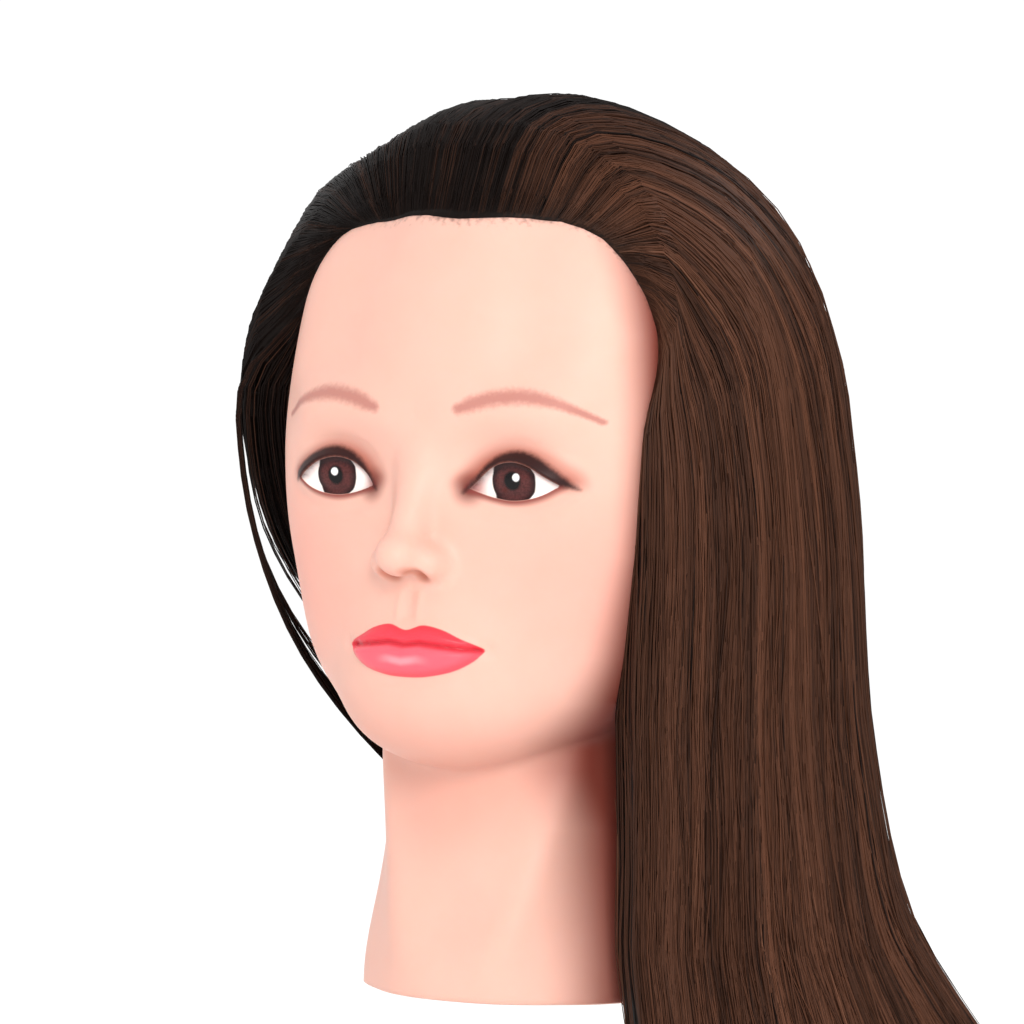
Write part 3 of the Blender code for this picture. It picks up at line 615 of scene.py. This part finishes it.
# How far the hair leans along the direction, at each height: its left half, then its right half.
LEAN_DIRECTION = (0.866, 0.5)
LEAN = (
    (-110, 14, 0), (-40, 10, 0), (-10, 5, 0), (20, -1, 0), (60, -3, 0), (100, -6, 0), (150, -7, 0),
    (200, -10, -2), (215, -10, -3), (250, -11, -8), (280, -12, -12), (300, -13, -10), (316, -15, -12),
)
LOCK_NAMES = (
    "hair_left_temple", "hair_left_side", "hair_left_front", "hair_top_left", "hair_top_centre",
    "hair_top_right", "hair_right_front", "hair_right_side", "hair_right_temple",
)
UNDER_NAMES = ("hair_under_left_side", "hair_under_left_back", "hair_nape_left", "hair_nape_right",
               "hair_under_right_side")
LOCKS = len(LOCK_NAMES)
# The hair's depth is measured towards this axis, which ends at its top.
HAIR_AXIS_X, HAIR_AXIS_Y, HAIR_AXIS_TOP = 4.0, 14.0, 205.0
HAIR_THICKNESS = 24.0
HAIR_TIP_THICKNESS = 9.0
SKIN_GAP = 0.4
ROOT_SHARE = 0.05
ROWS_ALONG = 181
COLUMNS_ACROSS = LOCKS * 34 + 1
random = np.random.default_rng(352)


def cubic_through(values, place):
    """Catmull-Rom interpolation of rows of values at fractional row numbers."""
    place = np.clip(place, 0, len(values) - 1 - 1e-9)
    i = place.astype(int)
    padded = np.concatenate([[2 * values[0] - values[1]], values, [2 * values[-1] - values[-2]]])
    t = (place - i)[:, None, None]
    return catmull(padded[i], padded[i + 1], padded[i + 2], padded[i + 3], t)


def leaned(points, along):
    """The hair set over sideways: towards the head's right above, and its left at the tips."""
    aside = points[..., 0] * LEAN_DIRECTION[0] + points[..., 1] * LEAN_DIRECTION[1]
    share = np.clip((aside + 20.0) / 80.0, 0.0, 1.0)
    share = share * share * (3 - 2 * share)
    table = np.array(LEAN)
    shift = (np.interp(points[..., 2], table[:, 0], table[:, 1]) * share
             + np.interp(points[..., 2], table[:, 0], table[:, 2]) * (1 - share))
    from_root = np.clip(np.asarray(along) / 0.12, 0.0, 1.0)
    shift = shift * from_root * from_root * (3 - 2 * from_root)
    moved = points.copy()
    moved[..., 0] += shift * LEAN_DIRECTION[0]
    moved[..., 1] += shift * LEAN_DIRECTION[1]
    moved[..., 2] -= 2.5 * from_root * np.clip((points[..., 2] - 260) / 50, 0, 1)
    return moved


class Combed:
    """The combed hair's outer surface, by lock number u and share of the length v."""

    def __init__(self):
        along = np.linspace(0.0, 1.0, ROWS_ALONG)
        guides = np.stack([smooth_curve(guide, along) for guide in HAIR_GUIDES])
        outside = cubic_through(guides, np.linspace(0, LOCKS, COLUMNS_ACROSS)).transpose(1, 0, 2)
        outside = leaned(outside, along[:, None])
        target = np.empty(outside.shape)
        target[..., 0] = HAIR_AXIS_X
        target[..., 1] = HAIR_AXIS_Y
        target[..., 2] = np.minimum(outside[..., 2], HAIR_AXIS_TOP)
        inwards = target - outside
        inwards /= np.linalg.norm(inwards, axis=-1, keepdims=True)
        taper = np.clip((along[:, None] - 0.6) / 0.4, 0.0, 1.0)
        most = HAIR_THICKNESS + (HAIR_TIP_THICKNESS - HAIR_THICKNESS) * taper
        most = np.broadcast_to(most, outside.shape[:-1])
        depth = np.zeros(outside.shape[:-1])
        for _ in range(30):
            room = head_field(outside + inwards * depth[..., None]) - SKIN_GAP
            depth = np.clip(depth + 0.8 * room, 0.0, most)
        root, lift = self.roots(outside[0]), smoothstep(0.0, ROOT_SHARE, along)[:, None, None]
        outside = root + (outside - root) * lift
        depth *= lift[..., 0]
        self.grid = np.concatenate([outside, inwards, depth[..., None]], axis=-1)

    @staticmethod
    def roots(edge):
        """Where the hair's front edge leaves the skin: points on the hairline, in the same order."""
        turn = np.arctan2(edge[:, 0], -edge[:, 1])
        line = np.array(HAIRLINE, float)
        rise = np.radians(np.interp(np.degrees(turn), line[:, 0], line[:, 1]))
        start = np.zeros((len(turn), 3))
        start[:, 2] = HEAD_CENTRE
        return hit(start, direction(turn, rise))

    def at(self, u, v):
        """Outer point, inward direction and hair depth, read between the grid's points."""
        row = np.clip(v, 0, 1) * (ROWS_ALONG - 1)
        column = np.clip(u, 0, LOCKS) * (COLUMNS_ACROSS - 1) / LOCKS
        i = np.minimum(row.astype(int), ROWS_ALONG - 2)
        j = np.minimum(column.astype(int), COLUMNS_ACROSS - 2)
        down, aside = (row - i)[..., None], (column - j)[..., None]
        g = self.grid
        found = ((g[i, j] * (1 - aside) + g[i, j + 1] * aside) * (1 - down)
                 + (g[i + 1, j] * (1 - aside) + g[i + 1, j + 1] * aside) * down)
        return found[..., :3], found[..., 3:6], found[..., 6]


def ripple(u, seed, waves, low, high):
    """Smooth noise of one number, about -1 to 1."""
    own = np.random.default_rng(seed)
    total = np.zeros(np.shape(u))
    for _ in range(waves):
        total = total + np.sin(u * own.uniform(low, high) + own.uniform(0, 6.28))
    return total / math.sqrt(waves)


def painted_hair_shade(u, v):
    """How far the fibre is darkened by painted shade: over the right front and along the right edge."""
    behind = smoothstep(0.15, 0.42, v) * smoothstep(9.0, 8.0, u)
    return smoothstep(2.2, 4.9, u) * (1 - 0.85 * behind)


def setback(v):
    """How many lock widths the right edge of the hair is drawn back behind its wisp."""
    return 0.46 * smoothstep(0.12, 0.6, v)


def raggedness(u):
    """How much longer or shorter the ends are than the rest, as a share of the length."""
    return 0.012 * ripple(u, 5, 6, 3, 22)


BODY_ROWS = 110
BODY_COLUMNS = 300


def add_hair_body(combed, material):
    """The closed mass of hair under the strands, grooved along the fibres."""
    u = np.linspace(0.03, LOCKS - 0.12, BODY_COLUMNS)
    v = np.linspace(0.012, 1.0, BODY_ROWS)
    v, u = np.meshgrid(v, u, indexing="ij")
    v = v * (0.955 + raggedness(u))
    u = np.clip(u + 0.05 * v * ripple(u, 8, 4, 5, 14), 0.02, LOCKS - 0.05)
    far_edge = LOCKS - 0.16 - setback(v)
    u = np.minimum(u, far_edge + 0.02 * ripple(v, 3, 3, 8, 20))
    outside, inwards, depth = combed.at(u, v)
    groove = 0.9 * ripple(u, 2, 10, 20, 110) + 0.5 * ripple(u, 4, 8, 90, 240)
    groove *= smoothstep(0.0, 0.06, v)
    top = np.clip(1.5 + 0.5 * groove, 0.3, 3.0)
    top = np.minimum(top, depth * 0.8)
    low = np.maximum(depth - 0.4, top + 0.6)
    outer = outside + inwards * top[..., None]
    inner = outside + inwards * low[..., None]
    points = np.concatenate([outer.reshape(-1, 3), inner.reshape(-1, 3)])
    behind = BODY_ROWS * BODY_COLUMNS
    faces, uvs = grid_faces(BODY_ROWS, BODY_COLUMNS, False)
    edge = [(0, c) for c in range(BODY_COLUMNS)] + [(r, BODY_COLUMNS - 1) for r in range(1, BODY_ROWS)]
    edge += [(BODY_ROWS - 1, c) for c in range(BODY_COLUMNS - 2, -1, -1)]
    edge += [(r, 0) for r in range(BODY_ROWS - 2, 0, -1)]
    rim = np.array([r * BODY_COLUMNS + c for r, c in edge])
    after = np.roll(rim, -1)
    sides = np.stack([rim, after, after + behind, rim + behind], axis=1)
    body = mesh_object("hair_body", points,
                       np.concatenate([faces, faces[:, ::-1] + behind, sides]), material)
    half = uvs * (1, 0.48)
    rim_uvs = np.full((len(sides), 4, 2), 0.995)
    add_uvs(body, np.concatenate([half + (0, 0.5), half[:, ::-1], rim_uvs]))
    tone = 0.34 + 0.2 * ripple(u, 12, 9, 30, 160) + 0.07 * ripple(u, 14, 5, 2, 8)
    # Painted shade: darker in the deeper grooves, over the right front and along the right edge, and near
    # black at the far edge.
    tone = (tone - 0.05 * groove - 0.36 * painted_hair_shade(u, v)) * smoothstep(-0.02, 0.25, far_edge - u)
    # The inner sheet, which faces the head, is painted in shade at half the tone.
    add_values(body, "tone", np.concatenate([tone.ravel(), tone.ravel() * 0.5]))
    add_values(body, "along", np.concatenate([v.ravel(), v.ravel()]))
    return body


# Each fibre is a strip in the UV square, 3 of the 1024 steps wide, in bands one above another.
STRIPS_IN_BAND = 250
STRAND_SIDES = 3


def tubes(name, paths, radii, outward, tones, along, material):
    """Tapered fibres along paths (strand, point, xyz), as one object."""
    strands, count = paths.shape[:2]
    sides = STRAND_SIDES
    ahead = np.gradient(paths, axis=1)
    ahead /= np.maximum(np.linalg.norm(ahead, axis=-1, keepdims=True), 1e-9)
    aside = np.cross(ahead, outward)
    aside /= np.maximum(np.linalg.norm(aside, axis=-1, keepdims=True), 1e-9)
    up = np.cross(aside, ahead)
    turns = np.arange(sides) * 2 * math.pi / sides
    rings = [paths + radii[..., None] * (math.cos(t) * up + math.sin(t) * aside) for t in turns]
    points = np.stack(rings, axis=2).reshape(-1, 3)
    counted = np.meshgrid(np.arange(strands), np.arange(count - 1), np.arange(sides), indexing="ij")
    strand, ring, side = (numbers.ravel() for numbers in counted)
    beside = (side + 1) % sides
    base = (strand * count + ring) * sides
    faces = np.stack([base + side, base + beside, base + sides + beside, base + sides + side], axis=1)
    item = mesh_object(name, points, faces, material)
    cell = strand % STRIPS_IN_BAND
    band = strand // STRIPS_IN_BAND
    bands = -(-strands // STRIPS_IN_BAND)
    left = (4 * cell + 8) / 1024
    top = (band + 0.03 + 0.94 * ring / (count - 1)) / bands
    low = (band + 0.03 + 0.94 * (ring + 1) / (count - 1)) / bands
    right = left + 3 / 1024
    uvs = np.stack([np.stack([left, top], -1), np.stack([right, top], -1),
                    np.stack([right, low], -1), np.stack([left, low], -1)], axis=1)
    add_uvs(item, uvs)
    add_values(item, "tone", np.repeat(tones.ravel(), sides))
    add_values(item, "along", np.repeat(along.ravel(), sides))
    return item


STRAND_POINTS = 32
STRANDS = {
    "hair_left_temple": 900, "hair_left_side": 1060, "hair_left_front": 1060, "hair_top_left": 1060,
    "hair_top_centre": 1060, "hair_top_right": 1060, "hair_right_front": 1000, "hair_right_side": 900,
    "hair_right_temple": 760,
}
CLUMP_PITCH = 0.11
FRONT_ROOTED = 0.42
LOOSE = 0.03
WISP_WIDTH = 0.05
LAST_PATH = LOCKS - 0.02


def lock_strands(combed, number, count):
    """Paths, radii, outward directions, tones and shares of the length of one lock's strands.

    Most lie near the outer surface in clumps. Some near the hair's two front edges lie deep, to cover the
    edges, and the last few at the right hang clear of the rest as a wisp.
    """
    u = number + (np.arange(count) + random.uniform(0, 1, count)) / count
    rooted_front = (random.uniform(0, 1, count) < FRONT_ROOTED) | (u > LOCKS - 2.4)
    start = np.where(rooted_front, random.uniform(0.0, 0.01, count), random.uniform(0.03, 0.5, count))
    end = np.clip(random.normal(0.972, 0.018, count) + raggedness(u), 0.88, 1.0)
    share = np.linspace(0.0, 1.0, STRAND_POINTS) ** 1.05
    v = start[:, None] + (end - start)[:, None] * share
    phase = random.uniform(0, 6.28, (3, count, 1))
    size = random.uniform(0.4, 1.0, (3, count, 1))
    wander = (0.022 * np.sin(5.5 * v + phase[0]) * size[0] + 0.012 * np.sin(13 * v + phase[1]) * size[1]
              + 0.0035 * np.sin(34 * v + phase[2]) * size[2])
    clump = (np.floor(u / CLUMP_PITCH) + 0.5) * CLUMP_PITCH
    clump = clump + 0.03 * np.sin(clump * 37.0)
    pull = (0.1 + 0.5 * random.uniform(0, 1, count))[:, None] * smoothstep(0.15, 1.0, v)
    loose = (random.uniform(0, 1, count) < LOOSE) & (u < LOCKS - 1.6)
    path_u = u[:, None] + wander * (1.2 + 2.6 * v) * np.where(loose, 2.2, 1.0)[:, None]
    path_u = path_u + (clump - u)[:, None] * pull * np.where(loose, 0.2, 1.0)[:, None]
    path_u = np.clip(path_u, 0.0, LAST_PATH)
    wisp = (u > LOCKS - WISP_WIDTH)[:, None]
    recede = setback(v) * smoothstep(LOCKS - 1.3, LOCKS - 0.1, path_u)
    fan = 0.3 * random.uniform(0, 1, count)[:, None] ** 2 * smoothstep(0.15, 0.6, v)
    path_u = np.where(wisp, LAST_PATH - fan, path_u - recede)
    outside, inwards, full = combed.at(path_u, v)
    lie = random.uniform(0, 1, count) ** 1.3 * 1.7 + 0.1
    edge = np.minimum(u, LOCKS - u)
    deep = (edge < 0.3) & (u < 1) & (random.uniform(0, 1, count) < 0.6)
    deep |= (edge > WISP_WIDTH) & (edge < 0.24) & (u > 1)
    lie = np.where(deep, random.uniform(2.0, 22.0, count), lie)[:, None]
    crest = 0.45 * np.sin(clump * 91.0)[:, None] * smoothstep(0.1, 0.5, v)
    lie = lie + crest + 0.2 * np.sin(7 * v + phase[1])
    lie = np.where(loose[:, None], lie - random.uniform(0.5, 2.2, count)[:, None] * np.sin(2.6 * share), lie)
    lie = np.minimum(lie * smoothstep(-0.002, ROOT_SHARE, v), full * 0.94)
    sink = np.where(rooted_front, 0.9, 0.0)[:, None] * np.exp(-(v - start[:, None]) / 0.006)
    rise = np.exp(-(v - start[:, None]) / 0.022) * np.where(rooted_front, 0.0, 1.0)[:, None]
    lie = lie + (full + SKIN_GAP + 0.8 - lie) * rise + sink
    paths = outside + inwards * lie[..., None]
    radii = random.uniform(0.17, 0.36, count)[:, None] * (0.55 + 0.45 * smoothstep(0, 0.08, share))
    radii = radii * (1 - 0.75 * smoothstep(0.82, 1.0, share))
    group = 0.09 * np.sin(clump * 53.0) + 0.07 * np.sin(clump * 17.0 + 1.0)
    tones = np.clip(random.normal(0.46, 0.09, count) + group, 0.02, 1.0)[:, None]
    # Painted shade over the right front and right edge, and a painted sheen as a lighter band over the left
    # front lock.
    tones = tones - 0.42 * painted_hair_shade(path_u, v) + 0.06 * bump(path_u, 2.0, 0.7)
    tones = np.clip(tones + 0.05 * np.sin(9 * v + phase[2]), 0, 1)
    return paths, radii, -inwards, tones, v


def add_strands(combed, material):
    for number, name in enumerate(LOCK_NAMES):
        count = STRANDS[name] // 1
        strands = tubes(name + "_strands", *lock_strands(combed, number, count), material)
        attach(strands, "root")
        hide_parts(name)


# ---- studio ----


def area_light(name, place, aim, size, power, colour=(1, 1, 1)):
    data = bpy.data.lights.new(name, "AREA")
    data.shape = "DISK"
    data.size = size
    data.energy = power
    data.color = colour
    item = bpy.data.objects.new(name, data)
    item.location = place
    item.rotation_euler = (Vector(aim) - Vector(place)).to_track_quat("-Z", "Y").to_euler()
    item.visible_camera = False
    bpy.context.scene.collection.objects.link(item)


CAMERA_TURN = math.radians(30.0)
CAMERA_DISTANCE = 1.8
CAMERA_HEIGHT = 0.222
CAMERA_ROLL = math.radians(1.2)
FRAME_WIDTH = 0.3615
AIM_HEIGHT = 0.167
AIM_ASIDE = -0.0078
FLOOR_HEIGHT = -134.0
FLOOR_REACH = 8000.0


def add_camera():
    data = bpy.data.cameras.new("camera")
    data.sensor_width = 36.0
    data.lens = 36.0 * CAMERA_DISTANCE / FRAME_WIDTH
    data.clip_start, data.clip_end = 0.05, 60.0
    camera = bpy.data.objects.new("camera", data)
    aside = Vector((math.cos(CAMERA_TURN), math.sin(CAMERA_TURN), 0.0)) * AIM_ASIDE
    away = Vector((math.sin(CAMERA_TURN), -math.cos(CAMERA_TURN), 0.0)) * CAMERA_DISTANCE
    aim = aside + Vector((0, 0, AIM_HEIGHT))
    camera.location = aside + away + Vector((0, 0, CAMERA_HEIGHT))
    look = (aim - camera.location).to_track_quat("-Z", "Y").to_matrix()
    camera.rotation_euler = (look @ Matrix.Rotation(CAMERA_ROLL, 3, "Z")).to_euler()
    bpy.context.scene.collection.objects.link(camera)
    bpy.context.scene.camera = camera


def add_studio():
    floor_material = Nodes("studio_floor")
    floor_material.shader.inputs["Base Color"].default_value = (0.97, 0.97, 0.97, 1)
    floor_material.shader.inputs["Roughness"].default_value = 0.9
    corners = np.array([(-1, -1, 0), (1, -1, 0), (1, 1, 0), (-1, 1, 0)]) * FLOOR_REACH + (0, 0, FLOOR_HEIGHT)
    floor = mesh_object("studio_floor", corners, [(0, 1, 2, 3)], floor_material.material, smooth=False)
    world = bpy.data.worlds.new("studio")
    world.use_nodes = True
    world.node_tree.nodes["Background"].inputs["Color"].default_value = (1, 1, 1, 1)
    world.node_tree.nodes["Background"].inputs["Strength"].default_value = 1.06
    bpy.context.scene.world = world
    bpy.context.scene.view_settings.view_transform = "Standard"
    area_light("key", (1.3, -1.8, 1.0), (0, 0, 0.17), 0.8, 33.0, (1.0, 0.97, 0.94))
    area_light("top", (1.2, 0.8, 1.6), (0, 0.05, 0.2), 0.7, 12.0)


skin = add_head(skin_material())
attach(skin, "root")
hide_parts("head_skin")

combed_hair = Combed()
hair_body = add_hair_body(combed_hair, hair_material("hair_body_fibre", rgb(13, 7, 5), rgb(74, 46, 33),
                                                     rgb(88, 60, 46), 0.5))
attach(hair_body, "root")
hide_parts(*UNDER_NAMES)
add_strands(combed_hair, hair_material("hair_strand_fibre", rgb(16, 9, 7), rgb(92, 58, 42),
                                       rgb(118, 84, 66), 0.42))

LOOKS = {
    "neck_base_plate": solid_material("base_plastic", rgb(38, 38, 39), rgb(50, 50, 51), 700, 0.5,
                                      height=0.0001),
    "clamp_socket": solid_material("socket_plastic", rgb(66, 66, 69), rgb(78, 78, 81), 500, 0.42,
                                   height=0.0001),
    "foam_core": solid_material("core_foam", rgb(206, 190, 146), rgb(236, 224, 190), 900, 0.9,
                                height=0.0004),
    "root_backing": solid_material("backing_latex", rgb(160, 134, 104), rgb(196, 170, 136), 300, 0.7,
                                   height=0.0003),
}
steel = solid_material("screw_steel", rgb(180, 180, 184), rgb(206, 206, 210), 1500, 0.3, metallic=1.0)
for name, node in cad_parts.items():
    if name in LOOKS or name.startswith("base_screw"):
        node.data.materials.clear()
        node.data.materials.append(LOOKS.get(name, steel))

add_studio()
add_camera()
